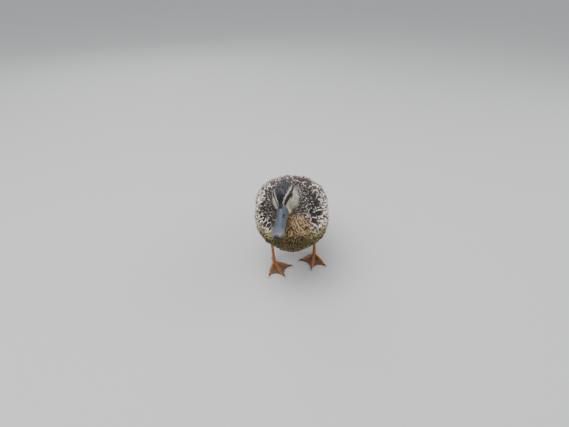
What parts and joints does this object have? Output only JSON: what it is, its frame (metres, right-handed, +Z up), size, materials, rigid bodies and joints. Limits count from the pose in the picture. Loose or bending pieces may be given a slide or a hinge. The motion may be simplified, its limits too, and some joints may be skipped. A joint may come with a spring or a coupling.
{
  "type": "mallard duck hen",
  "caption": "Standing hen mallard with folded wings, short drawn-in neck, head turned and tilted to one side, and broad webbed feet.",
  "frame": {"origin": "on the floor under the middle of the bounding box", "axes": "+Z up, -Y the way she faces (bill), +Y to the tail, +X her left"},
  "size_m": [0.1328, 0.3367, 0.2002],
  "materials": {
    "body_feathers": "mottled brown feathers",
    "head_feathers": "fine buff-grey feathers, dark crown and eye stripe",
    "wing_feathers": "brown feathers with pale edges",
    "tail_feathers": "pale barred feathers",
    "bill_horn": "satin slate-grey horn",
    "bill_nail": "satin black horn",
    "bill_lower_horn": "satin olive-brown horn",
    "eye": "wet dark brown eye",
    "leg_skin": "scaly orange skin, greyer on the webs",
    "claw": "satin dark horn"
  },
  "bodies": {
    "root": {"head": "head_feathers", "bill_upper": "bill_horn", "bill_nail": "bill_nail", "bill_lower": "bill_lower_horn", "eye_left": "eye", "eye_right": "eye", "neck": "head_feathers", "wing_left": "wing_feathers", "primaries_left": "wing_feathers", "wing_right": "wing_feathers", "primaries_right": "wing_feathers", "tail": "tail_feathers", "thigh_left": "body_feathers", "shank_left": "leg_skin", "foot_left": "leg_skin", "hind_toe_left": "leg_skin", "claw_inner_left": "claw", "claw_middle_left": "claw", "claw_outer_left": "claw", "claw_hind_left": "claw", "thigh_right": "body_feathers", "shank_right": "leg_skin", "foot_right": "leg_skin", "hind_toe_right": "leg_skin", "claw_inner_right": "claw", "claw_middle_right": "claw", "claw_outer_right": "claw", "claw_hind_right": "claw", "trunk": "body_feathers"}
  },
  "joints": []
}
